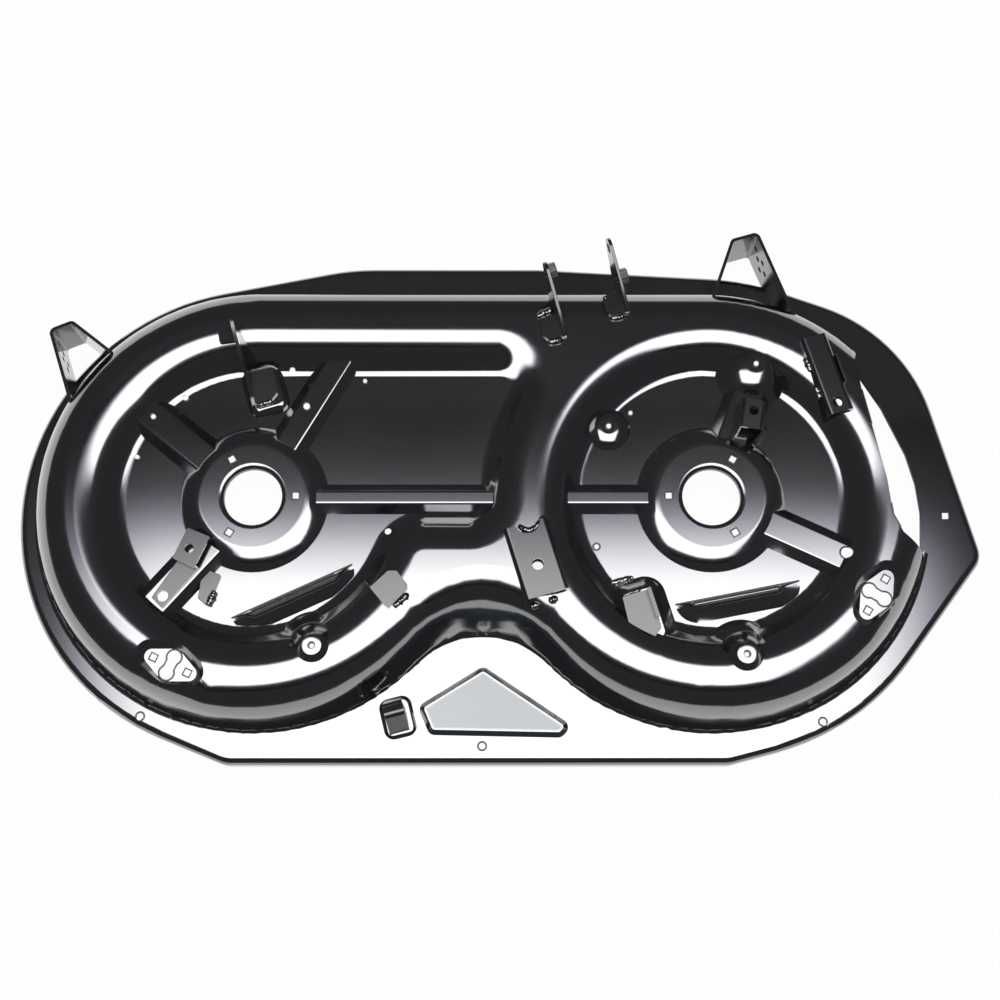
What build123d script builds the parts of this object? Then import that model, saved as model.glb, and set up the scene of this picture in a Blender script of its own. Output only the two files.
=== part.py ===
from build123d import *
import math
import os

# A two-spindle lawn mower deck: one stamped shell with its welded brackets.
# X runs along the line of the two spindles, with the discharge side at +X.
# Y points to the front edge of the stamping and Z up, from the lower edge of the lip.
# The direction of travel is turned from +Y, because the two blades are staggered.

# Driving dimensions, in millimetres and degrees
SPINDLE_SPACING = 550
TRAVEL_TURN = 17
SHEET = 2.5
PLATE = 4

# Levels above the lower edge of the lip
LEDGE_Z = 36
FLOOR_Z = 86
RIB_Z = 97
HUB_Z = 104
CREST_Z = 118

# Section of the blade tunnels
SKIRT_R = 272
SKIRT_DRAFT = 9.7
CREST_ROUND = 45
FLOOR_R = 163
FLOOR_SLOPE = 40
FLOOR_ROUND = 18
FOOT_ROUND = 8
TUNNEL_FOOT_R = 271
FLOOR_REAR_Y = -22
FLOOR_CORNER_ROUND = 20
SADDLE_ROUND = 60
ARCH_FOOT_Y = -284
ARCH_TOP_Y = -190

# The outer edge of the flange is drawn tightly round these circles: X, Y, radius
RIM_CIRCLES = [
    (-275, -5, 298),
    (-140, 20, 300),
    (60, 20, 300),
    (275, 0, 308),
    (365, 75, 207),
    (583, -55, 30),
    (290, -273, 40),
    (-300, -273, 40),
]
LIP_ROUND = 10

# Spindle seats
HUB_R = 67
HUB_BASE_R = 90
HUB_ROUND = 14
BORE_R = 35
COLLAR_ROUND = 6
COLLAR_DEPTH = 14
BOLT_CIRCLE_R = 52
BOLT_SQUARE = 8.6
LEFT_BOLTS = [0, 120, 240]
RIGHT_BOLTS = [180, 60, 300]

# Stiffening ribs that leave the hubs: direction, end radius, width of the flat top
RIB_START_R = 60
RIB_SLOPE = 45
RIB_ROUND = 5
LEFT_RIBS = [(0, 300, 15), (60, 205, 26), (141, 190, 32), (229, 192, 30)]
RIGHT_RIBS = [(180, 192, 15), (-25, 192, 30), (69, 150, 34)]

# Bolt bosses pressed up beside the tunnels: X, Y, top level, top radius
BOSSES = [(-197, -183, 117, 12), (307, -193, 117, 12), (332, 162, 117, 12), (153, 88, 100, 11)]
BOSS_SLOPE = 42
BOSS_HOLE_R = 4

# Raised seats for the brackets: X, Y, width, length, top level, turn
LIFT_SEAT = (-266, 137, 36, 50, 95, TRAVEL_TURN)
CLIP_SEAT = (192, -144, 34, 62, 106, TRAVEL_TURN)
HOOK_SEAT = (-101, -257, 32, 42, 40.5, 14)
SEAT_SLOPE = 40
SEAT_ROUND = 8

# Louvres lanced downwards: the ends of the straight edge, and the width of the ramp behind it
LOUVRES = [((-297, -145), (-155, -80)), ((229, -129), (378, -100))]
LOUVRE_WIDTH = 27
LOUVRE_DROP = 9

# Raised five-sided panel on the rear apron
PANEL_POINTS = [(1, -202), (-70, -246), (-59, -272), (92, -275), (99, -268)]
PANEL_RISE = 6
PANEL_ROUND = 4

# Flat ports pressed into the tunnels, a two-lobed hole between two square ones: X, Y, turn
PORTS = [(-362, -204, -24.5), (464, -121, 58.8)]
PORT_Z = 108
PORT_PITCH = 22
PORT_SQUARE = 8.6
PORT_LOBE_R = 9
PORT_LOBE_OFFSET = 10

# Plain round holes: X, Y, radius
HOLES = [
    (-364, 128, 4),
    (-234, 163, 3.5),
    (-400, 101, 4),
    (-419, 53, 3.5),
    (-144.5, 150, 3.5),
    (-113, -40, 4),
    (-214, 114, 5),
    (181, 109, 3.5),
    (137, -58.5, 4),
    (433, -68, 7),
    (0, -291, 5),
    (-410, -255.5, 5),
    (408, -262, 5),
    (439, 208, 6),
]
RIM_SQUARE = (571.5, -8.7, 9)

# Discharge opening: the cut edge of the shell, then the inner edge of the rim
SHELL_CUT = [(451, 187), (458, 129), (470, 75), (482, 19), (487, -26), (498, -47), (529, -71)]
RIM_CUT = [(538, -54), (541, -6), (537, 31), (527, 69), (500, 130), (465, 187)]
WALL_CUT_R = 288

# Bent plates in plan for the two gauge wheel brackets
GAUGE_LEFT = [(-482, 62), (-532, 211), (-506, 222), (-423, 157)]
GAUGE_RIGHT = [(396, 199), (343, 339), (312, 330), (275, 225)]
GAUGE_BOTTOM = 30
GAUGE_TOP = 100
GAUGE_HOLES = [(10, 75), (31, 76), (31, 54), (20, 65), (42, 65)]
GAUGE_HOLE_R = 4

# Front hangers: the rear end of each upright plate
HANGER_LEFT = (99, 195)
HANGER_RIGHT = (176, 226)
HANGER_EYE = (77, 146)
HANGER_EYE_R = 12
HANGER_HOLE_R = 6
HANGER_NUT_RIGHT = (42, 134)

HALF = SPINDLE_SPACING / 2
LEFT = (-HALF, 0)
RIGHT = (HALF, 0)
UNDER = 20
HIGH = 300


def slide(angle):
    """How far a face sloped at this angle moves sideways for each millimetre of sheet."""
    return math.tan(math.radians((90 - angle) / 2))


def turned(x, y, z, turn):
    """Level workplane at a point, turned about the vertical."""
    return Plane(Location((x, y, z), (0, 0, turn)))


def upright(x, y, heading):
    """Vertical workplane: its X runs along the heading, its Y is up, its face looks right."""
    along = (math.cos(math.radians(heading)), math.sin(math.radians(heading)), 0)
    return Plane((x, y, 0), x_dir=along, z_dir=(along[1], -along[0], 0))


def facing(x, y, heading):
    """Vertical workplane that faces along the heading: its X runs to the left, its Y is up."""
    along = (math.cos(math.radians(heading)), math.sin(math.radians(heading)), 0)
    return Plane((x, y, 0), x_dir=(-along[1], along[0], 0), z_dir=along)


def lobes_outline(radius, arch_y):
    """Edge of the two lobes at one level: two arcs, the front line and the arch between them."""
    reach = math.hypot(HALF, arch_y)
    dip = math.degrees(math.atan2(-arch_y, HALF))
    CenterArc(LEFT, radius, 90, 270 - dip)
    CenterArc((0, arch_y), reach - radius, 180 - dip, 2 * dip - 180)
    CenterArc(RIGHT, radius, 180 + dip, 270 - dip)
    Line((HALF, radius), (-HALF, radius))


def heading(start, end):
    """Direction in plan from one point to another, in degrees."""
    return math.degrees(math.atan2(end[1] - start[1], end[0] - start[0]))


def tunnels(inset):
    """The two lobes with their floors, as one body with rounded tunnels round the floors."""
    lean = math.tan(math.radians(SKIRT_DRAFT))
    wall = inset / math.cos(math.radians(SKIRT_DRAFT))
    grow = inset * slide(FLOOR_SLOPE)
    crest_r = SKIRT_R - (CREST_Z - LEDGE_Z) * lean
    with BuildPart() as body:
        with BuildSketch(Plane.XY.offset(LEDGE_Z - FOOT_ROUND)):
            with BuildLine():
                lobes_outline(SKIRT_R + FOOT_ROUND * lean - wall, ARCH_FOOT_Y)
            make_face()
        with BuildSketch(Plane.XY.offset(CREST_Z - inset)):
            with BuildLine():
                lobes_outline(crest_r + inset * lean - wall, ARCH_TOP_Y)
            make_face()
        loft(ruled=True)
        with BuildSketch(Plane.XY.offset(FLOOR_Z - inset)) as floors:
            with Locations(LEFT):
                Circle(FLOOR_R + grow)
                with Locations((0, FLOOR_REAR_Y - grow)):
                    Rectangle(SPINDLE_SPACING, FLOOR_R - FLOOR_REAR_Y + 2 * grow, align=Align.MIN)
            with Locations(RIGHT):
                Circle(TUNNEL_FOOT_R - grow, mode=Mode.SUBTRACT)
            fillet(floors.vertices().sort_by(Axis.X)[-2:], FLOOR_CORNER_ROUND)
            fillet(floors.vertices().sort_by(Axis.X)[1], SADDLE_ROUND)
            with Locations(RIGHT):
                Circle(FLOOR_R + grow)
        extrude(amount=CREST_Z - FLOOR_Z + 1, taper=-FLOOR_SLOPE, mode=Mode.SUBTRACT)
        fillet(body.faces().sort_by(Axis.Z)[-1].edges(), CREST_ROUND - inset)
        level = FLOOR_Z - inset
        floor_faces = body.faces().filter_by(Axis.Z).filter_by_position(Axis.Z, level - 1, level + 1)
        fillet(floor_faces.edges(), FLOOR_ROUND + inset)
    return body.part


def flange(inset):
    """Flat flange with its rounded edge and the lip below it."""
    base = -UNDER if inset else 0
    with BuildPart() as slab:
        with BuildSketch(Plane.XY.offset(base)):
            for x, y, radius in RIM_CIRCLES:
                with Locations((x, y)):
                    Circle(radius - inset)
            make_hull()
        extrude(amount=LEDGE_Z - inset - base)
        fillet(slab.faces().sort_by(Axis.Z)[-1].edges(), LIP_ROUND - inset)
    return slab.part


def hub(spindle, inset):
    """Raised round seat for a spindle, with sloping sides and a rounded edge."""
    rise = HUB_Z - FLOOR_Z
    shrink = inset * math.tan(math.atan2(rise, HUB_BASE_R - HUB_R) / 2)
    spread = (HUB_BASE_R - HUB_R) * (rise + 5) / rise
    with BuildPart() as seat:
        with Locations((spindle[0], spindle[1], HUB_Z - inset)):
            Cone(
                HUB_R + spread - shrink,
                HUB_R - shrink,
                rise + 5,
                align=(Align.CENTER, Align.CENTER, Align.MAX),
            )
        fillet(seat.faces().sort_by(Axis.Z)[-1].edges(), HUB_ROUND - inset)
    return seat.part


def rib(spindle, direction, end_r, width, inset):
    """Flat-topped rib that runs out from a hub and dies into the tunnel."""
    half_top = width / 2 - inset * slide(RIB_SLOPE)
    top = RIB_Z - inset
    drop = RIB_Z - FLOOR_Z + UNDER / 2
    x = spindle[0] + RIB_START_R * math.cos(math.radians(direction))
    y = spindle[1] + RIB_START_R * math.sin(math.radians(direction))
    with BuildPart() as ridge:
        with BuildSketch(facing(x, y, direction)) as section:
            Polygon(
                (-half_top - drop, top - drop),
                (half_top + drop, top - drop),
                (half_top, top),
                (-half_top, top),
                align=None,
            )
            fillet(section.vertices().group_by(Axis.Y)[-1], RIB_ROUND - inset)
        extrude(amount=end_r - RIB_START_R)
    return ridge.part


def boss(x, y, level, radius, inset):
    """Cone pressed up to a small flat top."""
    top_r = radius - inset * slide(BOSS_SLOPE)
    height = level - FLOOR_Z + 5
    spread = height / math.tan(math.radians(BOSS_SLOPE))
    with BuildPart() as cone:
        with Locations((x, y, level - inset)):
            Cone(top_r + spread, top_r, height, align=(Align.CENTER, Align.CENTER, Align.MAX))
        fillet(cone.faces().sort_by(Axis.Z)[-1].edges(), 6 - inset)
    return cone.part


def raised_seat(x, y, width, length, level, turn, inset):
    """Flat seat with rounded corners and sloping sides."""
    shrink = 2 * inset * slide(SEAT_SLOPE)
    drop = level - (FLOOR_Z if level > FLOOR_Z else LEDGE_Z) + 2
    with BuildPart() as seat:
        with BuildSketch(turned(x, y, level - inset, turn)):
            RectangleRounded(width - shrink, length - shrink, SEAT_ROUND - shrink / 2)
        extrude(amount=-drop, taper=-SEAT_SLOPE)
        fillet(seat.faces().sort_by(Axis.Z)[-1].edges(), 4 - inset)
    return seat.part


def raised_panel(inset):
    """Five-sided raised panel on the apron."""
    with BuildPart() as panel:
        with BuildSketch(Plane.XY.offset(LEDGE_Z + PANEL_RISE - inset)) as face:
            Polygon(*PANEL_POINTS, align=None)
            fillet(face.vertices(), PANEL_ROUND)
            if inset:
                offset(amount=-inset * slide(45))
        extrude(amount=-PANEL_RISE - 2, taper=-45)
    return panel.part


def louvre(ends, inset):
    """Scoop below the floor: deepest along the straight edge, running out at the ends and behind."""
    (x1, y1), (x2, y2) = ends
    length = math.hypot(x2 - x1, y2 - y1)
    heading = math.degrees(math.atan2(y2 - y1, x2 - x1))
    slope = math.degrees(math.atan2(LOUVRE_WIDTH - 3, LOUVRE_DROP))
    grow = inset * slide(slope)
    here = turned((x1 + x2) / 2, (y1 + y2) / 2, FLOOR_Z - inset, heading)
    with BuildPart() as scoop:
        with BuildSketch(here):
            RectangleRounded(length + 2 * grow, 2 * LOUVRE_WIDTH + 2 * grow, LOUVRE_WIDTH - 0.5)
        extrude(amount=-LOUVRE_DROP, taper=slope)
        with BuildSketch(here):
            with Locations((0, LOUVRE_WIDTH)):
                Rectangle(2 * length, 2 * LOUVRE_WIDTH)
        extrude(amount=-2 * LOUVRE_DROP, mode=Mode.SUBTRACT)
    return scoop.part


def port_pocket(x, y, turn, inset):
    """Lozenge pressed flat into the rounded tunnel."""
    with BuildPart() as pocket:
        with BuildSketch(turned(x, y, PORT_Z - inset, turn)):
            Circle(19 + inset * slide(45))
            with Locations((-24, 0), (24, 0)):
                Circle(9 + inset * slide(45))
            make_hull()
        extrude(amount=CREST_Z - PORT_Z + 4, taper=-45)
    return pocket.part


def deck_form(inset):
    """Solid under the sheet's upper face, or under its lower face when inset is the sheet."""
    pressings = [hub(LEFT, inset), hub(RIGHT, inset), raised_panel(inset)]
    pressings += [rib(LEFT, *values, inset) for values in LEFT_RIBS]
    pressings += [rib(RIGHT, *values, inset) for values in RIGHT_RIBS]
    pressings += [boss(*values, inset) for values in BOSSES]
    pressings += [raised_seat(*values, inset) for values in (LIFT_SEAT, CLIP_SEAT, HOOK_SEAT)]
    hollows = [port_pocket(*values, inset) for values in PORTS]
    hollows += [louvre(ends, inset) for ends in LOUVRES]
    with BuildPart() as form:
        add(flange(inset))
        add(tunnels(inset))
        add(pressings)
        add(hollows, mode=Mode.SUBTRACT)
    return form.part


def round_foot(form, level, radius):
    """Round the corner where the skirt meets the flange."""
    ledges = form.faces().filter_by(Axis.Z).filter_by_position(Axis.Z, level - 0.5, level + 0.5)
    ledge = ledges.sort_by(SortBy.AREA)[-1]
    loop = sorted(ledge.inner_wires(), key=lambda wire: wire.length)[-1]
    return form.fillet(radius, loop.edges())


def collar(spindle):
    """Down-turned collar of one spindle bore."""
    bend_r = BORE_R + COLLAR_ROUND
    bend_z = HUB_Z - COLLAR_ROUND
    foot_z = HUB_Z - COLLAR_DEPTH
    with BuildPart() as ring:
        with BuildSketch(Plane.XZ):
            with BuildLine():
                CenterArc((bend_r, bend_z), COLLAR_ROUND, 90, 90)
                Polyline(
                    (BORE_R, bend_z),
                    (BORE_R, foot_z),
                    (BORE_R + SHEET, foot_z),
                    (BORE_R + SHEET, bend_z),
                )
                CenterArc((bend_r, bend_z), COLLAR_ROUND - SHEET, 180, -90)
                Line((bend_r, HUB_Z - SHEET), (bend_r, HUB_Z))
            make_face()
        revolve(axis=Axis.Z)
    return ring.part.moved(Location((spindle[0], spindle[1], 0)))


def channel(x, y, heading, width, top, bottom, length):
    """Inverted U of bent plate, centred on a point and run along the heading."""
    x0 = x - length / 2 * math.cos(math.radians(heading))
    y0 = y - length / 2 * math.sin(math.radians(heading))
    with BuildPart() as body:
        with BuildSketch(facing(x0, y0, heading)) as section:
            with Locations((0, bottom)):
                Rectangle(width, top - bottom, align=(Align.CENTER, Align.MIN))
            fillet(section.vertices().group_by(Axis.Y)[-1], PLATE + 2)
            with Locations((0, bottom)):
                Rectangle(
                    width - 2 * PLATE,
                    top - bottom - PLATE,
                    align=(Align.CENTER, Align.MIN),
                    mode=Mode.SUBTRACT,
                )
        extrude(amount=length)
    return body.part


def upright_plate(x, y, heading, outline, eye=None):
    """Upright plate on the right of a line, from its outline and a rounded eye if it has one."""
    with BuildPart() as plate:
        with BuildSketch(upright(x, y, heading)):
            Polygon(*outline, align=None)
            if eye:
                with Locations(eye[:2]):
                    Circle(eye[2])
                make_hull()
                with Locations(eye[:2]):
                    Circle(eye[3], mode=Mode.SUBTRACT)
        extrude(amount=PLATE)
    return plate.part


def flat_plate(points, bottom, top):
    """Level plate with rounded corners."""
    with BuildPart() as plate:
        with BuildSketch(Plane.XY.offset(bottom)) as outline:
            Polygon(*points, align=None)
            fillet(outline.vertices(), 2)
        extrude(amount=top - bottom)
    return plate.part


outer_form = deck_form(0)
inner_form = deck_form(SHEET)
# Brackets are trimmed with this body, so that each one sits on the sheet
seat = round_foot(outer_form, LEDGE_Z, FOOT_ROUND)

sheet = round_foot(outer_form - inner_form, LEDGE_Z, FOOT_ROUND)
sheet = round_foot(sheet, LEDGE_Z - SHEET, FOOT_ROUND + SHEET)

with BuildPart() as deck_shell:
    add(sheet)
    # The rim stays flat beside the discharge opening, where the skirt is cut away
    with BuildSketch(Plane.XY.offset(LEDGE_Z - SHEET)):
        with BuildLine():
            Polyline(*RIM_CUT)
            low = math.degrees(math.atan2(RIM_CUT[0][1], RIM_CUT[0][0] - HALF))
            high = math.degrees(math.atan2(RIM_CUT[-1][1], RIM_CUT[-1][0] - HALF))
            rim_arc = CenterArc(RIGHT, WALL_CUT_R, low, high - low)
            Line(RIM_CUT[0], rim_arc @ 0)
            Line(RIM_CUT[-1], rim_arc @ 1)
        make_face()
    extrude(amount=SHEET)
    with BuildSketch(Plane.XY.offset(LEDGE_Z)):
        with BuildLine():
            Polyline(*SHELL_CUT)
            rim_arc = CenterArc(RIGHT, WALL_CUT_R, low, high - low)
            Polyline(SHELL_CUT[-1], RIM_CUT[0], rim_arc @ 0)
            Polyline(SHELL_CUT[0], RIM_CUT[-1], rim_arc @ 1)
        make_face()
    extrude(amount=HIGH, mode=Mode.SUBTRACT)
    with BuildSketch(Plane.XY.offset(-UNDER)):
        Polygon(*SHELL_CUT, *RIM_CUT, align=None)
    extrude(amount=HIGH, mode=Mode.SUBTRACT)
    # Spindle bores with their collars, and the square holes for the spindle bolts
    with BuildSketch(Plane.XY.offset(LEDGE_Z)):
        with Locations(LEFT, RIGHT):
            Circle(BORE_R + COLLAR_ROUND)
        for spindle, angles in ((LEFT, LEFT_BOLTS), (RIGHT, RIGHT_BOLTS)):
            for angle in angles:
                with Locations(Location((spindle[0], spindle[1], 0), (0, 0, angle))):
                    with Locations((BOLT_CIRCLE_R, 0)):
                        Rectangle(BOLT_SQUARE, BOLT_SQUARE)
    extrude(amount=HIGH, mode=Mode.SUBTRACT)
    add([collar(LEFT), collar(RIGHT)])
    # Round holes, the ports and the square hole in the rim
    with BuildSketch(Plane.XY.offset(-UNDER)):
        for x, y, radius in HOLES:
            with Locations((x, y)):
                Circle(radius)
        for x, y, level, radius in BOSSES:
            with Locations((x, y)):
                Circle(BOSS_HOLE_R)
        for x, y, turn in PORTS:
            with Locations(Location((x, y, 0), (0, 0, turn))):
                with Locations((0, -PORT_LOBE_OFFSET), (0, PORT_LOBE_OFFSET)):
                    Circle(PORT_LOBE_R)
                Rectangle(1.5 * PORT_LOBE_R, 2 * PORT_LOBE_OFFSET)
                with Locations((-PORT_PITCH, 0), (PORT_PITCH, 0)):
                    Rectangle(PORT_SQUARE, PORT_SQUARE)
        with Locations(RIM_SQUARE[:2]):
            Rectangle(RIM_SQUARE[2], RIM_SQUARE[2])
    extrude(amount=HIGH, mode=Mode.SUBTRACT)

with BuildPart() as gauge_bracket_left:
    with BuildSketch(Plane.XY.offset(GAUGE_BOTTOM)):
        with BuildLine():
            FilletPolyline(*GAUGE_LEFT, radius=6)
        trace(line_width=PLATE)
    extrude(amount=GAUGE_TOP - GAUGE_BOTTOM)
    with BuildSketch(upright(*GAUGE_LEFT[1], heading(GAUGE_LEFT[1], GAUGE_LEFT[0]))):
        with Locations(*GAUGE_HOLES):
            Circle(GAUGE_HOLE_R)
    extrude(amount=2 * PLATE, both=True, mode=Mode.SUBTRACT)
    add(seat, mode=Mode.SUBTRACT)

with BuildPart() as gauge_bracket_right:
    with BuildSketch(Plane.XY.offset(GAUGE_BOTTOM)):
        with BuildLine():
            FilletPolyline(*GAUGE_RIGHT, radius=6)
        trace(line_width=PLATE)
    extrude(amount=GAUGE_TOP - GAUGE_BOTTOM)
    with BuildSketch(upright(*GAUGE_RIGHT[1], heading(GAUGE_RIGHT[1], GAUGE_RIGHT[0]))):
        with Locations(*GAUGE_HOLES):
            Circle(GAUGE_HOLE_R)
    extrude(amount=2 * PLATE, both=True, mode=Mode.SUBTRACT)
    add(seat, mode=Mode.SUBTRACT)

# Front hangers: an upright plate with an eye, and a foot bent out at its left
HANGER_OUTLINE = [(0, 96), (0, 123), (27, 140), (50, 96)]
HANGER_FOOT = [(-24, 9), (-22, 28), (2, 31), (2, 0), (-18, 0)]
with BuildPart() as front_hanger_left:
    eye = (*HANGER_EYE, HANGER_EYE_R, HANGER_HOLE_R)
    add(upright_plate(*HANGER_LEFT, 90 + TRAVEL_TURN, HANGER_OUTLINE, eye))
    with BuildSketch(turned(*HANGER_LEFT, 96, TRAVEL_TURN)):
        Polygon(*HANGER_FOOT, align=None)
    extrude(amount=26)
    add(seat, mode=Mode.SUBTRACT)

with BuildPart() as front_hanger_right:
    eye = (*HANGER_EYE, HANGER_EYE_R, HANGER_HOLE_R)
    add(upright_plate(*HANGER_RIGHT, 90 + TRAVEL_TURN, HANGER_OUTLINE, eye))
    with BuildSketch(turned(*HANGER_RIGHT, 96, TRAVEL_TURN)):
        Polygon(*HANGER_FOOT, align=None)
    extrude(amount=26)
    with BuildSketch(upright(*HANGER_RIGHT, 90 + TRAVEL_TURN)):
        with Locations(HANGER_NUT_RIGHT):
            Circle(HANGER_HOLE_R)
    extrude(amount=PLATE, mode=Mode.SUBTRACT)
    add(seat, mode=Mode.SUBTRACT)

# Weld nuts on the right face of the hangers
NUT_R = 10
NUT_HEIGHT = 9
with BuildPart() as hanger_nut_left:
    with BuildSketch(upright(*HANGER_LEFT, 90 + TRAVEL_TURN).offset(PLATE)):
        with Locations(HANGER_EYE):
            RegularPolygon(NUT_R, 6)
            Circle(HANGER_HOLE_R, mode=Mode.SUBTRACT)
    extrude(amount=NUT_HEIGHT)

with BuildPart() as hanger_nut_right:
    with BuildSketch(upright(*HANGER_RIGHT, 90 + TRAVEL_TURN).offset(PLATE)):
        with Locations(HANGER_NUT_RIGHT):
            RegularPolygon(NUT_R, 6)
            Circle(HANGER_HOLE_R, mode=Mode.SUBTRACT)
    extrude(amount=NUT_HEIGHT)

# Rear lift bracket on the left lobe: a plate on edge with one foot on its seat, one on the tunnel
with BuildPart() as lift_bracket:
    outline = [(0, 80), (0, 99), (14, 100), (44, 126), (84, 150), (96, 150), (96, 100), (40, 80)]
    add(upright_plate(-280, 114, 104, outline))
    add(flat_plate([(-280, 116), (-290, 155), (-257, 164), (-250, 131), (-256, 123)], 90, 99))
    add(flat_plate([(-323, 208), (-303, 211), (-299, 190), (-319, 187)], 100, 122))
    add(seat, mode=Mode.SUBTRACT)

# Channel beside the discharge opening, with a hinge plate on its right side
CHANNEL_AT = (416, 146)
CHANNEL_HEADING = 90 + TRAVEL_TURN
with BuildPart() as discharge_channel:
    add(channel(*CHANNEL_AT, CHANNEL_HEADING, 32, 128, 90, 100))
    with BuildSketch(turned(*CHANNEL_AT, HIGH, TRAVEL_TURN)):
        with Locations((-1, -37)):
            Circle(6)
    extrude(amount=-HIGH, mode=Mode.SUBTRACT)
    add(seat, mode=Mode.SUBTRACT)

with BuildPart() as hinge_plate:
    with BuildSketch(turned(*CHANNEL_AT, 100, TRAVEL_TURN)):
        with Locations((16 + 1.5, 2)):
            Rectangle(3, 36)
    extrude(amount=30)
    add(seat, mode=Mode.SUBTRACT)

# Clevis bracket on the rib in front of the right spindle
with BuildPart() as clevis_bracket:
    add(channel(325, 97, 80, 30, 122, 80, 36))
    add(upright_plate(312, 84, -127, [(-2, 88), (-2, 116), (4, 118), (10, 88)], (14, 101, 9, 3.5)))
    add(upright_plate(342, 79, -127, [(-2, 88), (-2, 116), (4, 118), (10, 88)], (14, 101, 9, 3.5)))
    with BuildSketch(turned(326, 101, HIGH, -10)):
        Circle(5.5)
    extrude(amount=-HIGH + 105, mode=Mode.SUBTRACT)
    add(seat, mode=Mode.SUBTRACT)

# Stepped strap from the left hub down on to a rib
with BuildPart() as stepped_strap:
    upper = [(-349, -41), (-322, -52), (-337, -85), (-363, -73)]
    lower = [(-361, -79), (-336, -88), (-377, -136), (-390, -123)]
    add(flat_plate(upper, 108, 112))
    add(flat_plate(lower, 90, 101))
    add(flat_plate([(-363, -73), (-337, -85), (-339, -90), (-365, -78)], 90, 112))
    add(flat_plate([(-349, -41), (-322, -52), (-324, -56), (-351, -45)], 90, 112))
    with BuildSketch(Plane.XY.offset(LEDGE_Z)):
        with Locations((-346, -66)):
            Circle(5.5)
        with Locations((-377, -121)):
            Circle(6.8)
    extrude(amount=HIGH, mode=Mode.SUBTRACT)
    add(seat, mode=Mode.SUBTRACT)

with BuildPart() as rib_tongue:
    add(flat_plate([(-333, -84), (-337, -122), (-327, -131), (-318, -114), (-311, -94)], 80, 91))
    add(seat, mode=Mode.SUBTRACT)

# Small guide on the left tunnel: a flap with an upright edge on its left
with BuildPart() as belt_guide:
    guide = [(-110, -95), (-100, -95), (-87, -111), (-87, -117), (-109, -140), (-131, -115)]
    add(flat_plate(guide, 104, 122))
    add(upright_plate(-137, -99, -52.7, [(0, 84), (4, 112), (16, 122), (44, 122), (46, 84)]))
    add(seat, mode=Mode.SUBTRACT)

# Saddle over the tunnel between the spindles
with BuildPart() as centre_saddle:
    add(channel(63.5, -82, 90 + TRAVEL_TURN, 54, 130, 70, 88))
    with BuildSketch(Plane.XY.offset(LEDGE_Z)):
        with Locations((65.6, -88.6)):
            Circle(7)
        with Locations((53, -37)):
            Circle(15)
    extrude(amount=HIGH, mode=Mode.SUBTRACT)
    add(seat, mode=Mode.SUBTRACT)

# Clip on its seat in the right floor
with BuildPart() as floor_clip:
    clip = [(165, -124), (197, -114), (208, -150), (210, -161), (202, -171), (182, -178), (176, -173)]
    add(flat_plate(clip, 96, 110))
    clip_turn = math.degrees(math.atan2(-36, 11))
    add(upright_plate(197, -114, clip_turn, [(0, 96), (0, 122), (36, 122), (36, 96)]))
    add(seat, mode=Mode.SUBTRACT)

# Hook on its seat on the apron, and the fin beside it on the skirt
with BuildPart() as rear_hook:
    with BuildSketch(upright(-96, -236, -75)) as profile:
        with BuildLine():
            FilletPolyline((4, 30), (4, 68), (18, 72), (36, 46), (36, 30), radius=6)
        trace(line_width=3)
    extrude(amount=24)
    add(seat, mode=Mode.SUBTRACT)

with BuildPart() as skirt_fin:
    add(upright_plate(-146, -208, -77, [(-6, 112), (0, 104), (29, 84), (29, 62), (8, 40), (-20, 60)]))
    add(seat, mode=Mode.SUBTRACT)

deck_shell.part.label = "deck_shell"
gauge_bracket_left.part.label = "gauge_bracket_left"
gauge_bracket_right.part.label = "gauge_bracket_right"
front_hanger_left.part.label = "front_hanger_left"
front_hanger_right.part.label = "front_hanger_right"
hanger_nut_left.part.label = "hanger_nut_left"
hanger_nut_right.part.label = "hanger_nut_right"
lift_bracket.part.label = "lift_bracket"
discharge_channel.part.label = "discharge_channel"
hinge_plate.part.label = "hinge_plate"
clevis_bracket.part.label = "clevis_bracket"
stepped_strap.part.label = "stepped_strap"
rib_tongue.part.label = "rib_tongue"
belt_guide.part.label = "belt_guide"
centre_saddle.part.label = "centre_saddle"
floor_clip.part.label = "floor_clip"
rear_hook.part.label = "rear_hook"
skirt_fin.part.label = "skirt_fin"

pieces = [
    deck_shell.part,
    gauge_bracket_left.part,
    gauge_bracket_right.part,
    front_hanger_left.part,
    front_hanger_right.part,
    hanger_nut_left.part,
    hanger_nut_right.part,
    lift_bracket.part,
    discharge_channel.part,
    hinge_plate.part,
    clevis_bracket.part,
    stepped_strap.part,
    rib_tongue.part,
    belt_guide.part,
    centre_saddle.part,
    floor_clip.part,
    rear_hook.part,
    skirt_fin.part,
]

# Put the origin under the middle of the whole deck
low_corner = [min(getattr(piece.bounding_box().min, axis) for piece in pieces) for axis in "XYZ"]
high_corner = [max(getattr(piece.bounding_box().max, axis) for piece in pieces) for axis in "XYZ"]
middle_x = (low_corner[0] + high_corner[0]) / 2
middle_y = (low_corner[1] + high_corner[1]) / 2
shift = Location((-middle_x, -middle_y, -low_corner[2]))
print("shift", shift.position, "low", low_corner, "high", high_corner)
for piece in pieces:
    piece.move(shift)
    print(piece.label, piece.is_valid, len(piece.solids()), round(piece.volume))

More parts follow.
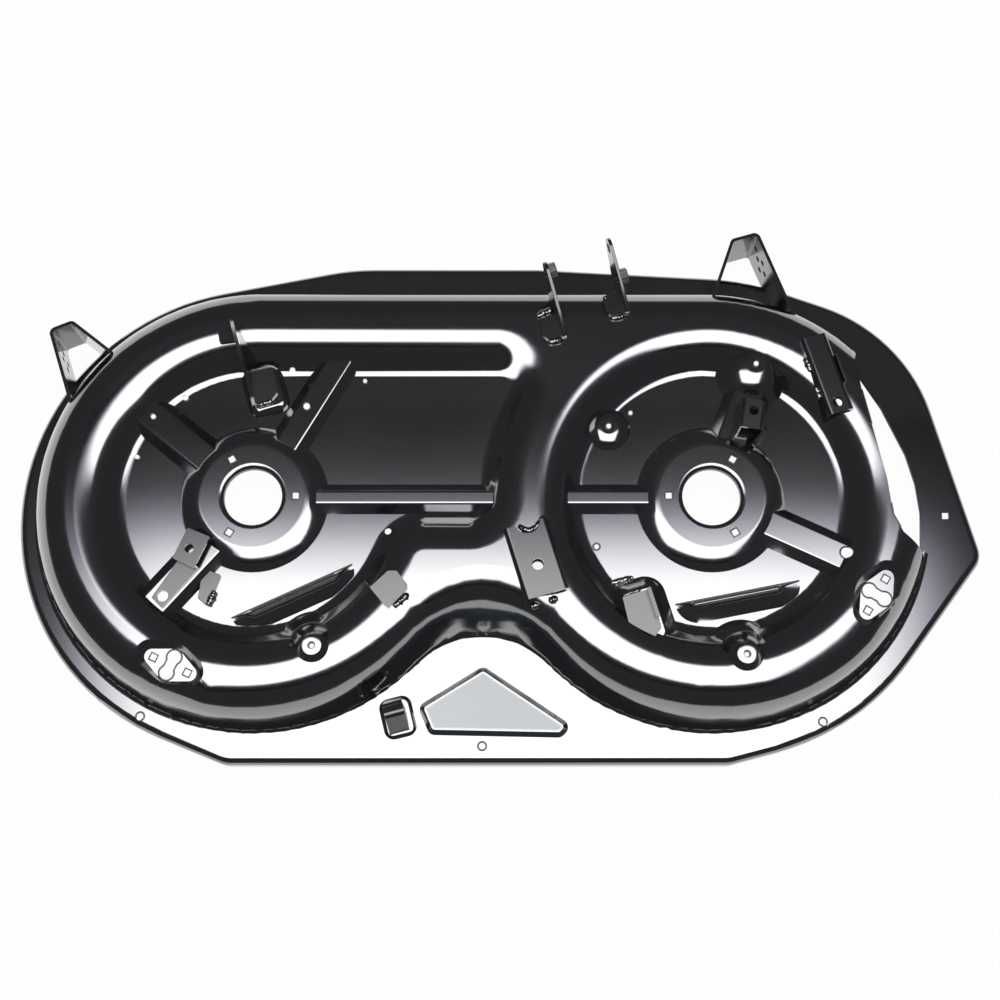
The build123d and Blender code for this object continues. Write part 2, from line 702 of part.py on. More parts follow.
os.makedirs("parts", exist_ok=True)
export_step(deck_shell.part, "parts/deck_shell.step")
export_step(gauge_bracket_left.part, "parts/gauge_bracket_left.step")
export_step(gauge_bracket_right.part, "parts/gauge_bracket_right.step")
export_step(front_hanger_left.part, "parts/front_hanger_left.step")
export_step(front_hanger_right.part, "parts/front_hanger_right.step")
export_step(hanger_nut_left.part, "parts/hanger_nut_left.step")
export_step(hanger_nut_right.part, "parts/hanger_nut_right.step")
export_step(lift_bracket.part, "parts/lift_bracket.step")
export_step(discharge_channel.part, "parts/discharge_channel.step")
export_step(hinge_plate.part, "parts/hinge_plate.step")
export_step(clevis_bracket.part, "parts/clevis_bracket.step")
export_step(stepped_strap.part, "parts/stepped_strap.step")
export_step(rib_tongue.part, "parts/rib_tongue.step")
export_step(belt_guide.part, "parts/belt_guide.step")
export_step(centre_saddle.part, "parts/centre_saddle.step")
export_step(floor_clip.part, "parts/floor_clip.step")
export_step(rear_hook.part, "parts/rear_hook.step")
export_step(skirt_fin.part, "parts/skirt_fin.step")
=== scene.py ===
# %% [markdown]
# # A stamped mower deck under a soft box
#
# The deck is one deep-drawn steel sheet with brackets welded on top, all dipped in glossy black paint.
# Black paint has hardly any colour of its own, so what the eye reads is the reflection of the lamp.
# This lesson therefore spends its care on smooth curved surfaces, rounded edges, lumpy weld beads and
# a large lamp with soft edges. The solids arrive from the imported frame, in metres, in their own place.

# %% Load the frame
import math
import bpy
import bmesh
import numpy as np
from mathutils import Matrix, Vector


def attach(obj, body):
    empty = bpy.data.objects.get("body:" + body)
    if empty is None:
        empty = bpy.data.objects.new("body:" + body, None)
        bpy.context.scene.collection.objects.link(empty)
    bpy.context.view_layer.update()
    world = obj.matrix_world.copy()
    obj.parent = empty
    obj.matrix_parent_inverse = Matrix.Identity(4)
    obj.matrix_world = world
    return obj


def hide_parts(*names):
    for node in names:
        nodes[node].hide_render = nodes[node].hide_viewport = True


MM = 0.001

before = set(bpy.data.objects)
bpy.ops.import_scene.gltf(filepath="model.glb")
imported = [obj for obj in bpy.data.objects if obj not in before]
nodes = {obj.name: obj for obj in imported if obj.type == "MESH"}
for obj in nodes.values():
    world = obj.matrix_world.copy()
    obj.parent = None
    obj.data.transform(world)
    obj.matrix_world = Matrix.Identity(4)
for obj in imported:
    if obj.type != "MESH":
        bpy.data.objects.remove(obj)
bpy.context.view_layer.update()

# %% [markdown]
# ## Shader maths as plain expressions
#
# Procedural finishes are small sums: noise times a strength, one minus a mask. Wiring Math nodes by hand
# hides that, so one class wraps a socket. Adding or multiplying two of them adds the Math node and its
# links. Every other node comes from its one method, which sets the node up first and then fills its
# sockets.

# %% A socket that can be added and multiplied
class Signal:
    """An output socket of a node tree; arithmetic on it adds Math nodes."""

    def __init__(self, tree, socket=None):
        self.tree = tree
        self.socket = socket

    def node(self, kind, settings, values, output=0):
        made = self.tree.nodes.new(kind)
        for name, value in settings.items():
            if name == "stops":
                ramp = made.color_ramp
                while len(ramp.elements) < len(value):
                    ramp.elements.new(0.5)
                for element, (place, colour) in zip(ramp.elements, value):
                    element.position = place
                    element.color = colour
            else:
                setattr(made, name, value)
        for name, value in values.items():
            if isinstance(value, Signal):
                self.tree.links.new(value.socket, made.inputs[name])
            else:
                made.inputs[name].default_value = value
        return Signal(self.tree, made.outputs[output] if made.outputs else None)

    def maths(self, operation, first, second):
        return self.node("ShaderNodeMath", {"operation": operation}, {0: first, 1: second})

    def __add__(self, other):
        return self.maths("ADD", self, other)

    def __radd__(self, other):
        return self.maths("ADD", other, self)

    def __sub__(self, other):
        return self.maths("SUBTRACT", self, other)

    def __rsub__(self, other):
        return self.maths("SUBTRACT", other, self)

    def __mul__(self, other):
        return self.maths("MULTIPLY", self, other)

    def __rmul__(self, other):
        return self.maths("MULTIPLY", other, self)


def new_finish(name):
    """An empty material; returns it with a starting Signal for its nodes."""
    finish = bpy.data.materials.new(name)
    finish.use_nodes = True
    finish.node_tree.nodes.clear()
    return finish, Signal(finish.node_tree)


def close_finish(start, shader):
    start.node("ShaderNodeOutputMaterial", {}, {"Surface": shader})


# %% Nodes that several finishes share
def object_place(start):
    return start.node("ShaderNodeTexCoord", {}, {}, "Object")


def noise(start, place, scale, detail, roughness):
    values = {"Vector": place, "Scale": scale, "Detail": detail, "Roughness": roughness}
    return start.node("ShaderNodeTexNoise", {}, values)


def colour_mix(start, factor, first, second):
    return start.node("ShaderNodeMix", {"data_type": "RGBA"}, {"Factor": factor, 6: first, 7: second}, 2)


def ramp(start, value, stops):
    return start.node("ShaderNodeValToRGB", {"stops": stops}, {"Fac": value})


def part_of(start, place, axis):
    """One coordinate of a place: axis 0 is X and 1 is Y."""
    return start.node("ShaderNodeSeparateXYZ", {}, {"Vector": place}, axis)


# %% [markdown]
# ## Glossy black paint
#
# Dipped paint on a stamping is smooth but not a mirror. It has an orange-peel ripple a few millimetres
# long, a little dust that dulls it in specks, and long faint wipe marks. The colour is nearly black. A
# strong clear coat carries the gloss, so that the flat soft box shows as a clean white on plain light.
# The ripple goes through a Bump node and the dust and wipe marks through Roughness. The brackets get the
# same paint with a weaker coat, because theirs looks darker and flatter. The five-sided panel of the apron
# gets a painted reflection of the lamp: a mask of its outline takes most of the coat away and mixes in a
# pale blue-grey.

# %% Masks of the paint
SPECK_SCALE = 900.0
HAZE_SCALE = 9.0
WIPE_TURN = 0.4
WIPE_SCALE = (30.0, 420.0, 120.0)
PANEL_CORNERS = [
    (-0.019, -0.2153),
    (-0.090, -0.2593),
    (-0.079, -0.2853),
    (0.072, -0.2883),
    (0.079, -0.2813),
]
PANEL_EDGE_GAIN = 300.0


def dust_and_wipes(start, place):
    """Masks for dust specks, broad haze and thin wipe marks, each from 0 to 1."""
    grit = noise(start, place, SPECK_SCALE, 2.0, 0.6)
    specks = ramp(start, grit, [(0.66, (0, 0, 0, 1)), (0.74, (1, 1, 1, 1))])
    haze = noise(start, place, HAZE_SCALE, 5.0, 0.55)
    turn = {"Vector": place, "Rotation": (0.0, 0.0, WIPE_TURN), "Scale": WIPE_SCALE}
    wipes = noise(start, start.node("ShaderNodeMapping", {}, turn), 1.0, 3.0, 0.6)
    return specks, haze, wipes


def reflection_panel_mask(start, place):
    """Mask of the five-sided panel on the apron where a reflection is painted, 1 inside its outline."""
    x = part_of(start, place, 0)
    y = part_of(start, place, 1)
    inside = 1.0
    for (x1, y1), (x2, y2) in zip(PANEL_CORNERS, PANEL_CORNERS[1:] + PANEL_CORNERS[:1]):
        length = math.hypot(x2 - x1, y2 - y1)
        depth = (y - y1) * ((x2 - x1) / length) - (x - x1) * ((y2 - y1) / length)
        inside = inside * start.node("ShaderNodeClamp", {}, {"Value": depth * PANEL_EDGE_GAIN})
    return inside


# %% Paint of the shell and the brackets
# Painted reflection on the apron panel: its pale blue-grey colour, and how much of the coat is taken away
# there.
PAINTED_REFLECTION_COLOUR = (0.03, 0.052, 0.072, 1)
REFLECTION_COAT_CUT = 0.78
REFLECTION_COAT_PATCHES = 0.1
SPECK_PALE = 0.10
SPECK_DULL = 0.25
HAZE_DULL = 0.05
WIPE_DULL = 0.03


def paint(name, colour, roughness, ripple_size, ripple_depth, speck_gain, shine, coat, painted_reflection=None):
    finish, start = new_finish(name)
    place = object_place(start)
    specks, haze, wipes = dust_and_wipes(start, place)
    ripple = noise(start, place, 1.0 / ripple_size, 2.0, 0.5)
    bump = start.node("ShaderNodeBump", {}, {"Strength": 0.5, "Distance": ripple_depth, "Height": ripple})
    dull = haze * HAZE_DULL + wipes * WIPE_DULL + specks * (SPECK_DULL * speck_gain)
    dusty = tuple(min(1.0, c + SPECK_PALE * speck_gain) for c in colour)
    tint = colour_mix(start, specks * (haze * speck_gain), (*colour, 1), (*dusty, 1))
    weight = 1.0
    # Painted reflection: inside the panel mask the colour turns pale blue-grey and most of the coat is
    # taken away.
    if painted_reflection:
        reflection_mask = painted_reflection(start, place)
        tint = colour_mix(start, reflection_mask, tint, PAINTED_REFLECTION_COLOUR)
        weight = 1.0 - reflection_mask * (REFLECTION_COAT_CUT + REFLECTION_COAT_PATCHES * haze)
    shader = start.node(
        "ShaderNodeBsdfPrincipled",
        {},
        {
            "Base Color": tint,
            "Roughness": roughness + dull,
            "IOR": 1.55,
            "Specular IOR Level": shine,
            "Coat Weight": weight,
            "Coat Roughness": 0.08,
            "Coat IOR": coat,
            "Normal": bump,
        },
    )
    close_finish(start, shader)
    return finish


shell_paint = paint(
    "shell_paint",
    colour=(0.008, 0.008, 0.009),
    roughness=0.14,
    ripple_size=0.006,
    ripple_depth=0.00002,
    speck_gain=0.35,
    shine=1.0,
    coat=2.3,
    # The apron panel of the shell gets the painted reflection.
    painted_reflection=reflection_panel_mask,
)
bracket_paint = paint(
    "bracket_paint",
    colour=(0.010, 0.010, 0.012),
    roughness=0.24,
    ripple_size=0.004,
    ripple_depth=0.00004,
    speck_gain=0.6,
    shine=0.5,
    coat=1.5,
)
print("paints:", shell_paint.name, bracket_paint.name)

# %% [markdown]
# ## Weld metal and bare steel
#
# A weld bead is painted with the rest, so it keeps the black coat but has a rough, rippled skin. The weld
# nuts were left bare: grey steel with a fine grain and darker stains, both from noise.

# %% Finishes of the beads and nuts
GRAIN_SCALE = 700.0
GRAIN_DULL = 0.25
STAIN_SCALE = 120.0
STAIN_SHARE = 0.6
STEEL_GREYS = [(0.3, (0.10, 0.10, 0.105, 1)), (0.7, (0.34, 0.34, 0.35, 1))]

bead_paint = paint(
    "bead_paint",
    colour=(0.008, 0.008, 0.009),
    roughness=0.16,
    ripple_size=0.0022,
    ripple_depth=0.0004,
    speck_gain=0.3,
    shine=1.0,
    coat=1.8,
)


def bare_steel():
    finish, start = new_finish("bare_steel")
    place = object_place(start)
    grain = noise(start, place, GRAIN_SCALE, 4.0, 0.65)
    stain = noise(start, place, STAIN_SCALE, 3.0, 0.5)
    tint = ramp(start, stain * STAIN_SHARE + grain * (1 - STAIN_SHARE), STEEL_GREYS)
    dull = 0.3 + grain * GRAIN_DULL
    bump = start.node("ShaderNodeBump", {}, {"Strength": 0.4, "Distance": 0.0002, "Height": grain})
    shader = start.node(
        "ShaderNodeBsdfPrincipled",
        {},
        {"Base Color": tint, "Roughness": dull, "Metallic": 0.85, "Normal": bump},
    )
    close_finish(start, shader)
    return finish


nut_steel = bare_steel()
print("finishes:", bead_paint.name, nut_steel.name)

# %% [markdown]
# ## A merged copy of a node
#
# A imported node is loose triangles, which shade flat and would break a reflection into facets. So a piece
# that replaces a node starts from a copy whose corners are merged. Edges that bend more than a crease are
# marked sharp, and all others shade smoothly.

# %% Merge a node's mesh
MERGE_DISTANCE = 0.000005


def placed(name, data):
    """Put a mesh or a camera into the scene as an object."""
    piece = bpy.data.objects.new(name, data)
    bpy.context.collection.objects.link(piece)
    return piece


def piece_from(name, shape):
    """Turn a finished bmesh into an object of the scene."""
    mesh = bpy.data.meshes.new(name)
    shape.to_mesh(mesh)
    shape.free()
    return placed(name, mesh)


def shade_smooth(shape, crease_degrees):
    crease = math.radians(crease_degrees)
    for face in shape.faces:
        face.smooth = True
    for edge in shape.edges:
        edge.smooth = len(edge.link_faces) == 2 and edge.calc_face_angle(0.0) < crease


def merged_copy(name, node, crease_degrees):
    """A welded, smooth-shaded copy of a node's mesh, as a new object."""
    shape = bmesh.new()
    shape.from_mesh(nodes[node].data)
    bmesh.ops.remove_doubles(shape, verts=shape.verts, dist=MERGE_DISTANCE)
    shade_smooth(shape, crease_degrees)
    return piece_from(name, shape)


def finish_piece(piece, finish):
    piece.data.materials.clear()
    piece.data.materials.append(finish)
    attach(piece, "root")


# %% [markdown]
# ## The stamping as one smooth skin
#
# The shell's roundings have uneven facets, and gloss shows every one of them. The shape is left alone and
# only its normals are evened. Flats and straight walls keep their own normal, and over each rounding
# between them the normals are relaxed until they turn evenly, as those of a true rounding do. A last
# gentle pass lets every face that isn't level give a little, which takes lumps out of the walls.

# %% Read the split mesh
TINY = 1e-12
LEAST_PULL = 0.02
MOST_PULL = 5.0


def unit(vectors):
    return vectors / np.maximum(np.linalg.norm(vectors, axis=1, keepdims=True), TINY)


def split_corners(piece):
    """Corner indices, places and rim flags of a mesh, split along its sharp edges."""
    shape = bmesh.new()
    shape.from_mesh(piece.data)
    bmesh.ops.split_edges(shape, edges=[edge for edge in shape.edges if not edge.smooth])
    shape.verts.index_update()
    corners = np.array([[loop.vert.index for loop in face.loops] for face in shape.faces])
    place = np.array([vert.co[:] for vert in shape.verts])
    rim = np.array([vert.is_boundary for vert in shape.verts])
    shape.free()
    return corners, place, rim


def gathered(corners, count, vectors):
    """Add the vector of each face onto its three corners."""
    total = np.zeros((count, 3))
    for k in range(3):
        for axis in range(3):
            total[:, axis] += np.bincount(corners[:, k], vectors[:, axis], count)
    return total


def edge_pulls(corners, place):
    """The edge opposite each corner, with how strongly it ties its two ends together."""
    pulls = []
    for k in range(3):
        first, second, tip = corners[:, k - 2], corners[:, k - 1], corners[:, k]
        left, right = place[first] - place[tip], place[second] - place[tip]
        spread = np.linalg.norm(np.cross(left, right), axis=1)
        pull = np.sum(left * right, axis=1) / np.maximum(spread, TINY)
        pulls.append((first, second, np.clip(pull, LEAST_PULL, MOST_PULL)))
    return pulls


def neighbours_mean(normals, pulls):
    count = len(normals)
    total = np.zeros((count, 3))
    for first, second, pull in pulls:
        for axis in range(3):
            total[:, axis] += np.bincount(first, pull * normals[second, axis], count)
            total[:, axis] += np.bincount(second, pull * normals[first, axis], count)
    return unit(total)


# %% Even the shell's normals
SHELL_CREASE = 20
LEVEL_COSINE = 0.99999
FLAT_AREA = 0.00008
ROUNDS = 80
SOFT_ROUNDS = 12
OWN_PULL = 0.25


def even_normals(piece):
    """Flats and straight walls keep their own direction; the roundings between them turn evenly."""
    corners, place, rim = split_corners(piece)
    count = len(place)
    here, second, third = (place[corners[:, k]] for k in range(3))
    facing = np.cross(second - here, third - here)
    level = np.abs(unit(facing)[:, 2]) > LEVEL_COSINE
    wide = level | (np.linalg.norm(facing, axis=1) / 2 > FLAT_AREA)
    on_level = gathered(corners, count, facing * level[:, None])
    on_wide = gathered(corners, count, facing * wide[:, None])
    normals = gathered(corners, count, facing)
    for better in (on_wide, on_level):
        known = np.linalg.norm(better, axis=1) > 0
        normals[known] = better[known]
    normals = unit(normals)
    pulls = edge_pulls(corners, place)
    free = ~rim & (np.linalg.norm(on_wide, axis=1) == 0)
    for _ in range(ROUNDS):
        normals[free] = neighbours_mean(normals, pulls)[free]
    own = normals.copy()
    soft = ~rim & (np.linalg.norm(on_level, axis=1) == 0)
    for _ in range(SOFT_ROUNDS):
        normals[soft] = unit(neighbours_mean(normals, pulls) + OWN_PULL * own)[soft]
    piece.data.normals_split_custom_set(normals[corners.ravel()].tolist())
    return int(free.sum())


shell = merged_copy("stamped_shell", "deck_shell", SHELL_CREASE)
print("vertices on roundings:", even_normals(shell))
finish_piece(shell, shell_paint)
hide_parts("deck_shell")
print("shell triangles:", len(shell.data.polygons))

# %% [markdown]
# ## Plates with broken edges
#
# Sheared plate is never knife-sharp: paint pulls into a round along each edge, and that round catches a
# thin white line from the lamp. A Bevel modifier would stumble over the loose triangles. So each bracket
# is copied, its flat faces are joined back together, and its sharp edges get a small bevel. Weighted
# normals then keep the faces flat.

# %% Bevel the brackets
PLATE_BEVEL = 0.0007
NUT_BEVEL = 0.0006
PLATE_CREASE = 60
FLAT_ANGLE = math.radians(0.5)
SHARP_ANGLE = math.radians(50)


def weigh_normals(piece):
    weighing = piece.modifiers.new("weighted_normals", "WEIGHTED_NORMAL")
    weighing.keep_sharp = True


def bevelled_copy(name, node, width):
    piece = merged_copy(name, node, PLATE_CREASE)
    shape = bmesh.new()
    shape.from_mesh(piece.data)
    bmesh.ops.dissolve_limit(
        shape,
        angle_limit=FLAT_ANGLE,
        use_dissolve_boundaries=False,
        verts=shape.verts,
        edges=shape.edges,
    )
    folds = [edge for edge in shape.edges if len(edge.link_faces) == 2]
    bmesh.ops.bevel(
        shape,
        geom=[edge for edge in folds if edge.calc_face_angle(0.0) > SHARP_ANGLE],
        offset=width,
        offset_type="OFFSET",
        affect="EDGES",
        segments=2,
        profile=0.5,
        clamp_overlap=True,
        material=-1,
    )
    shade_smooth(shape, PLATE_CREASE)
    shape.to_mesh(piece.data)
    shape.free()
    weigh_normals(piece)
    return piece


plates = [
    "gauge_bracket_left",
    "gauge_bracket_right",
    "front_hanger_left",
    "front_hanger_right",
    "lift_bracket",
    "discharge_channel",
    "hinge_plate",
    "clevis_bracket",
    "stepped_strap",
    "rib_tongue",
    "belt_guide",
    "centre_saddle",
    "floor_clip",
    "rear_hook",
    "skirt_fin",
]
for node in plates:
    plate = bevelled_copy(node + "_plate", node, PLATE_BEVEL)
    finish_piece(plate, bracket_paint)
    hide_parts(node)
for node in ("hanger_nut_left", "hanger_nut_right"):
    nut = bevelled_copy(node + "_steel", node, NUT_BEVEL)
    finish_piece(nut, nut_steel)
    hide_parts(node)
print("plates:", len(plates))

# %% [markdown]
# ## Weld beads
#
# Each bracket is held by short runs of weld. A plain tube would look like a wire, so a bead starts as a
# circle that is extruded from station to station along a path. Every ring swells and shrinks a little,
# has lumps of its own, and the ends taper. A short pressed dash on the right floor is made the same way,
# in the shell's paint. Paths are in millimetres in the frame's place.

# %% Grow a bead
BEAD_SIDES = 12
BEAD_STEP = 0.0012
BEAD_HEIGHT = 0.8
END_SHARE = 0.25
SWELL = 0.2
QUICK_WAVE = 1.25
SLOW_WAVE = 0.43
LUMP = 0.08
LUMP_TWIST = 0.9
FIRST_PHASE = 0.6
PHASE_STEP = 1.7


def ring_edges(shape, ring):
    return [shape.edges.get((ring[j - 1], ring[j])) for j in range(len(ring))]


def grown_ring(shape, ring):
    """Extrude a ring of edges; returns the new corners in the order of the old ones."""
    grown = bmesh.ops.extrude_edge_only(shape, edges=ring_edges(shape, ring))["geom"]
    fresh = [item for item in grown if isinstance(item, bmesh.types.BMVert)]
    partner = {edge.other_vert(vert): vert for vert in fresh for edge in vert.link_edges}
    return [partner[vert] for vert in ring]


def weld_bead(shape, path, radius, phase):
    """Add one lumpy bead along a path to the mesh that is being built."""
    points = [Vector(point) * MM for point in path]
    stations = []
    for begin, end in zip(points, points[1:]):
        steps = max(3, round((end - begin).length / BEAD_STEP))
        stations += [begin.lerp(end, k / steps) for k in range(steps)]
    stations.append(points[-1])
    last = len(stations) - 1
    ring = bmesh.ops.create_circle(shape, cap_ends=True, segments=BEAD_SIDES, radius=radius * MM)["verts"]
    for k, centre in enumerate(stations):
        if k > 0:
            ring = grown_ring(shape, ring)
        ahead = stations[min(k + 1, last)] - stations[max(k - 1, 0)]
        side = ahead.cross(Vector((0, 0, 1))).normalized()
        up = side.cross(ahead).normalized()
        taper = (1 - abs(2 * k / last - 1) ** 5) ** 0.5
        swell = 1 + SWELL * math.sin(QUICK_WAVE * k + phase) * math.sin(SLOW_WAVE * k + 2 * phase)
        size = radius * MM * (END_SHARE + (1 - END_SHARE) * taper) * swell
        for j, vert in enumerate(ring):
            angle = 2 * math.pi * j / BEAD_SIDES
            lump = size * (1 + LUMP * math.sin(3 * angle + LUMP_TWIST * k + phase))
            vert.co = centre + lump * (math.cos(angle) * side + BEAD_HEIGHT * math.sin(angle) * up)
    bmesh.ops.contextual_create(shape, geom=ring_edges(shape, ring))


def bead_piece(name, runs, finish):
    shape = bmesh.new()
    for k, (path, radius) in enumerate(runs):
        weld_bead(shape, path, radius, PHASE_STEP * k + FIRST_PHASE)
    bmesh.ops.recalc_face_normals(shape, faces=shape.faces)
    for face in shape.faces:
        face.smooth = True
    finish_piece(piece_from(name, shape), finish)


# %% Lay the beads
SADDLE_NOTCH = [
    (23, -53, 119),
    (30, -58.5, 120.5),
    (37, -60, 121),
    (45, -55, 121),
    (50, -47, 120.5),
    (54, -42, 119),
]
FLOOR_DASH = [(133, -116.5, 85.5), (147, -113, 86.5), (160.5, -109.5, 85.5)]

beads = {
    "beads_left_hanger": [
        ([(46, 208, 118), (55, 213.5, 118.5), (66, 217.5, 118)], 4.4),
        ([(60, 176.5, 118.5), (68, 176.5, 119.5), (77, 179.5, 119)], 4.8),
    ],
    "beads_right_hanger": [
        ([(128, 231, 120), (142, 236, 118)], 3.4),
        ([(136, 207.5, 118), (145, 207, 119), (155, 211, 119)], 4.4),
    ],
    "beads_channel": [
        ([(371.5, 155, 122), (377, 137, 122)], 4.2),
        ([(382, 118, 122), (387, 102, 122)], 4.2),
    ],
    "beads_lift_bracket": [([(-295, 102.5, 95.5), (-285, 105, 96.5), (-276, 108, 96)], 3.6)],
    "beads_tongue": [([(-345, -144, 89), (-341.5, -136, 90), (-337.5, -126, 90)], 4.2)],
    "beads_clip": [([(146, -135.5, 105.5), (156, -131.5, 107), (167, -128.5, 106.5)], 2.6)],
    "beads_saddle": [
        (SADDLE_NOTCH, 3.6),
        ([(37, -148.5, 109), (47, -147.5, 113)], 4.6),
        ([(58, -144, 116), (69, -140, 118.5)], 4.6),
    ],
    "beads_guide": [([(-123, -150.5, 118), (-114, -143, 119), (-105.5, -135, 118)], 4.2)],
}
for name, runs in beads.items():
    bead_piece(name, runs, bead_paint)
bead_piece("floor_dash", [(FLOOR_DASH, 4.0)], shell_paint)
print("bead pieces:", len(beads))

# %% [markdown]
# ## Rear bosses
#
# Two bolt bosses at the rear stand proud of the crest as small cones with a flat top and a hole. Such a
# turned shape is quickest as a closed profile, radius and level in millimetres, spun round its axis.

# %% Spin the bosses
BOSS_PROFILE = [
    (4, 115.6),
    (4, 124.4),
    (4.8, 125),
    (11, 125),
    (12.6, 124.2),
    (28, 110.2),
    (30.5, 104),
    (30.5, 99.5),
    (12, 115.6),
]
BOSS_STEPS = 56
BOSS_CREASE = 50


def boss_cone(name, x, y):
    shape = bmesh.new()
    ring = [shape.verts.new(((x + radius) * MM, y * MM, level * MM)) for radius, level in BOSS_PROFILE]
    edges = [shape.edges.new((first, second)) for first, second in zip(ring, ring[1:] + ring[:1])]
    bmesh.ops.spin(
        shape,
        geom=ring + edges,
        cent=(x * MM, y * MM, 0),
        axis=(0, 0, 1),
        angle=2 * math.pi,
        steps=BOSS_STEPS,
        use_merge=True,
    )
    bmesh.ops.remove_doubles(shape, verts=shape.verts, dist=MERGE_DISTANCE)
    bmesh.ops.recalc_face_normals(shape, faces=shape.faces)
    shade_smooth(shape, BOSS_CREASE)
    cone = piece_from(name, shape)
    weigh_normals(cone)
    finish_piece(cone, shell_paint)


boss_cone("boss_left", -217, -196.3)
boss_cone("boss_right", 287, -206.3)
print("boss profile corners:", len(BOSS_PROFILE))

# %% [markdown]
# ## Painted edges
#
# Round the holes and along the cut edges, wet paint draws back into a thin rounded rim, and that rim
# outlines a hole against the white floor. A bevel of the whole shell would be held back by its shortest
# edge. So the cut edges are read from the merged shell, joined into chains, and followed by a fine tube.

# %% Follow the cut edges
RIM_RADIUS = 0.0011
TOP_COSINE = 0.999
WALL_COSINE = 0.3


def cut_edges(piece):
    """Chains of points along the edges where a level top face drops into a cut wall."""
    shape = bmesh.new()
    shape.from_mesh(piece.data)
    links = {}
    for edge in shape.edges:
        if len(edge.link_faces) != 2 or not edge.is_convex:
            continue
        low, high = sorted(face.normal.z for face in edge.link_faces)
        if high > TOP_COSINE and abs(low) < WALL_COSINE:
            first, second = edge.verts
            links.setdefault(first.index, []).append(second.index)
            links.setdefault(second.index, []).append(first.index)
    places = [vert.co.copy() for vert in shape.verts]
    shape.free()
    chains = []
    while links:
        ends = [vert for vert in links if len(links[vert]) == 1]
        here = ends[0] if ends else min(links)
        chain = [here]
        while links.get(here):
            after = links[here].pop(0)
            links[after].remove(here)
            chain.append(after)
            here = after
        links = {vert: near for vert, near in links.items() if near}
        closed = chain[0] == chain[-1]
        chains.append(([places[vert] for vert in (chain[:-1] if closed else chain)], closed))
    return chains


def paint_rims(name, chains, finish):
    curve = bpy.data.curves.new(name, "CURVE")
    curve.dimensions = "3D"
    curve.bevel_depth = RIM_RADIUS
    curve.bevel_resolution = 2
    curve.use_fill_caps = True
    for points, closed in chains:
        line = curve.splines.new("POLY")
        line.points.add(len(points) - 1)
        for point, place in zip(line.points, points):
            point.co = (*place, 1)
        line.use_cyclic_u = closed
    guide = bpy.data.objects.new(name + "_guide", curve)
    mesh = bpy.data.meshes.new_from_object(guide)
    bpy.data.objects.remove(guide)
    mesh.name = name
    for face in mesh.polygons:
        face.use_smooth = True
    rims = placed(name, mesh)
    finish_piece(rims, finish)
    return rims


chains = cut_edges(shell)
rims = paint_rims("paint_rims", chains, bracket_paint)
print("cut edges:", len(chains), "rim faces:", len(rims.data.polygons))

# %% [markdown]
# ## Light, floor and camera
#
# A flat lamp above and behind the deck makes the white shapes. Its front edge stands just ahead of the
# deck, so level faces near the rear edge mirror it and those in front mirror the dark room. An area lamp
# has one even brightness, so a glowing panel is used instead, whose edges fade to a cool lilac. The floor
# is plain white. It glows for the camera and for mirrored rays, and keeps a faint shadow.

# %% Soft box
LAMP_SIZE = (2.6, 2.8, 1.0)
LAMP_PLACE = (0.05, -0.6, 2.3)
LAMP_STRENGTH = 5.2
LEFT_FADE = (-1.22, -0.85)
RIGHT_FADE = (1.28, 0.9)
FRONT_FADE = (0.58, 0.26)
REAR_FADE = (-1.2, -0.9)
LAMP_TINTS = [(0.0, (0.72, 0.70, 0.95, 1)), (0.5, (0.93, 0.93, 1.0, 1)), (1.0, (1, 1, 1, 1))]


def lamp_panel():
    shape = bmesh.new()
    bmesh.ops.create_grid(shape, x_segments=1, y_segments=1, size=0.5)
    bmesh.ops.scale(shape, vec=LAMP_SIZE, verts=shape.verts)
    bmesh.ops.rotate(shape, matrix=Matrix.Rotation(math.pi, 3, "X"), verts=shape.verts)
    bmesh.ops.translate(shape, vec=LAMP_PLACE, verts=shape.verts)
    return piece_from("soft_box", shape)


def smooth_step(start, value, dark, bright):
    """Smooth step from 0 at the dark end to 1 at the bright end."""
    rising = bright > dark
    return start.node(
        "ShaderNodeMapRange",
        {"interpolation_type": "SMOOTHSTEP"},
        {
            "Value": value,
            "From Min": min(dark, bright),
            "From Max": max(dark, bright),
            "To Min": 0.0 if rising else 1.0,
            "To Max": 1.0 if rising else 0.0,
        },
    )


def lamp_glow():
    glow, start = new_finish("soft_box_glow")
    place = object_place(start)
    x = part_of(start, place, 0)
    y = part_of(start, place, 1)
    sides = smooth_step(start, x, *LEFT_FADE) * smooth_step(start, x, *RIGHT_FADE)
    level = sides * smooth_step(start, y, *FRONT_FADE) * smooth_step(start, y, *REAR_FADE)
    tint = ramp(start, level, LAMP_TINTS)
    shader = start.node("ShaderNodeEmission", {}, {"Color": tint, "Strength": level * LAMP_STRENGTH})
    close_finish(start, shader)
    return glow


soft_box = lamp_panel()
soft_box.data.materials.append(lamp_glow())
soft_box.visible_camera = False
print("lamp:", LAMP_SIZE[:2], "at", LAMP_PLACE)

# %% Floor
FLOOR_HALF = 30.0
FLOOR_LEVEL = -0.0005
FLOOR_GLOW = 0.97


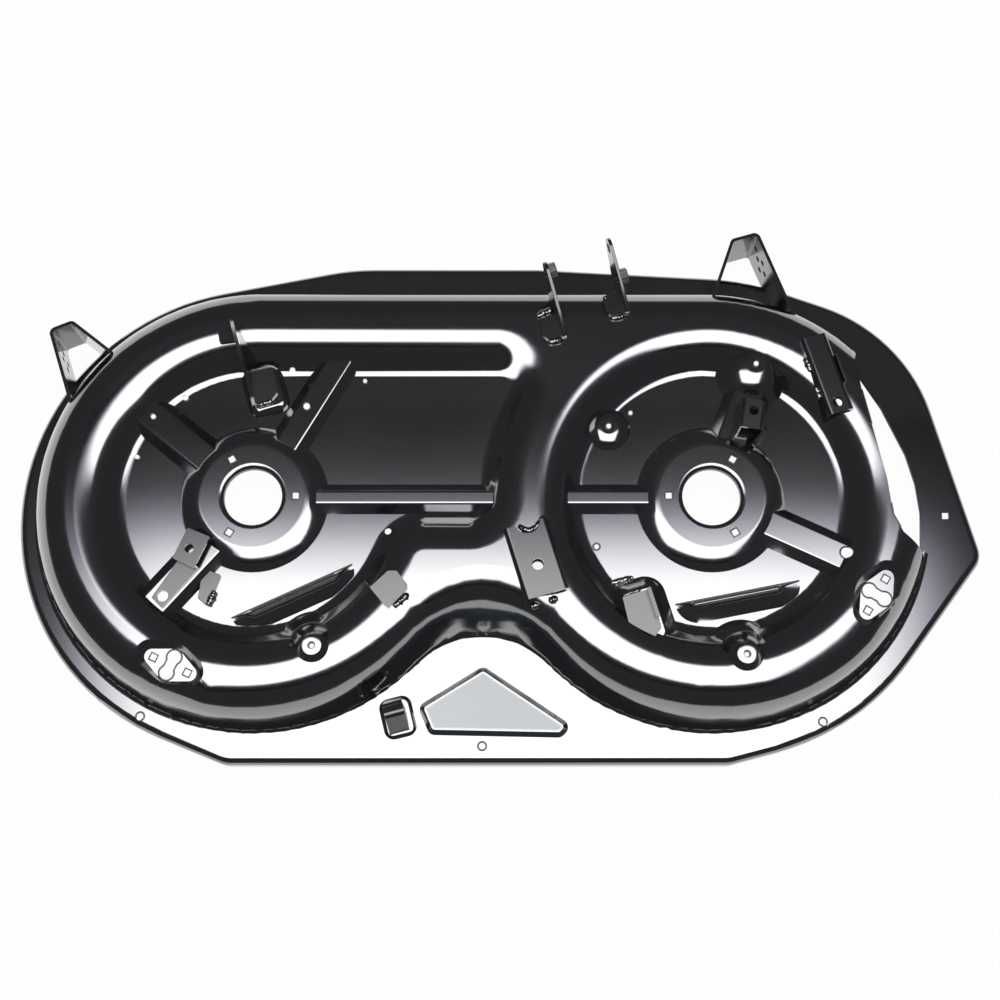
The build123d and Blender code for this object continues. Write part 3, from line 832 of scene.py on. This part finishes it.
def floor_white():
    finish, start = new_finish("floor_white")
    direct = start.node("ShaderNodeLightPath", {}, {}, "Is Camera Ray")
    mirror = start.node("ShaderNodeLightPath", {}, {}, "Is Glossy Ray")
    through = start.node("ShaderNodeLightPath", {}, {}, "Is Transmission Ray")
    seen = start.node("ShaderNodeClamp", {}, {"Value": direct + mirror + through})
    matte = start.node("ShaderNodeBsdfDiffuse", {}, {"Color": (0.86, 0.86, 0.86, 1)})
    bright = start.node("ShaderNodeEmission", {}, {"Color": (1, 1, 1, 1), "Strength": 1.0})
    shader = start.node("ShaderNodeMixShader", {}, {0: seen * FLOOR_GLOW, 1: matte, 2: bright})
    close_finish(start, shader)
    return finish


ground = bmesh.new()
bmesh.ops.create_grid(ground, x_segments=1, y_segments=1, size=FLOOR_HALF)
bmesh.ops.translate(ground, vec=(0.0, 0.0, FLOOR_LEVEL), verts=ground.verts)
floor = piece_from("floor", ground)
floor.data.materials.append(floor_white())
print("floor:", 2 * FLOOR_HALF, "m across")

# %% World
ROOM_COLOUR = (0.9, 0.92, 1.0, 1)
ROOM_STRENGTH = 0.06

world = bpy.data.worlds.new("dark_room")
bpy.context.scene.world = world
world.use_nodes = True
room = world.node_tree.nodes["Background"]
room.inputs["Color"].default_value = ROOM_COLOUR
room.inputs["Strength"].default_value = ROOM_STRENGTH
print("room level:", ROOM_STRENGTH)

# %% Camera
CAMERA_DISTANCE = 1.9
CAMERA_ELEVATION = math.radians(76)

target = Vector((-0.00107, -0.01890, 0.100))
back = Vector((0.0, -math.cos(CAMERA_ELEVATION), math.sin(CAMERA_ELEVATION)))
lens = bpy.data.cameras.new("camera")
lens.sensor_width = 36.0
lens.lens = 57.12
lens.shift_x = 0.002
lens.shift_y = 0.001
camera = placed("camera", lens)
camera.location = target + CAMERA_DISTANCE * back
camera.rotation_euler = (math.pi / 2 - CAMERA_ELEVATION, 0.0, 0.0)
bpy.context.scene.camera = camera
bpy.context.scene.view_settings.view_transform = "Standard"
print("camera at:", [round(v, 3) for v in camera.location])
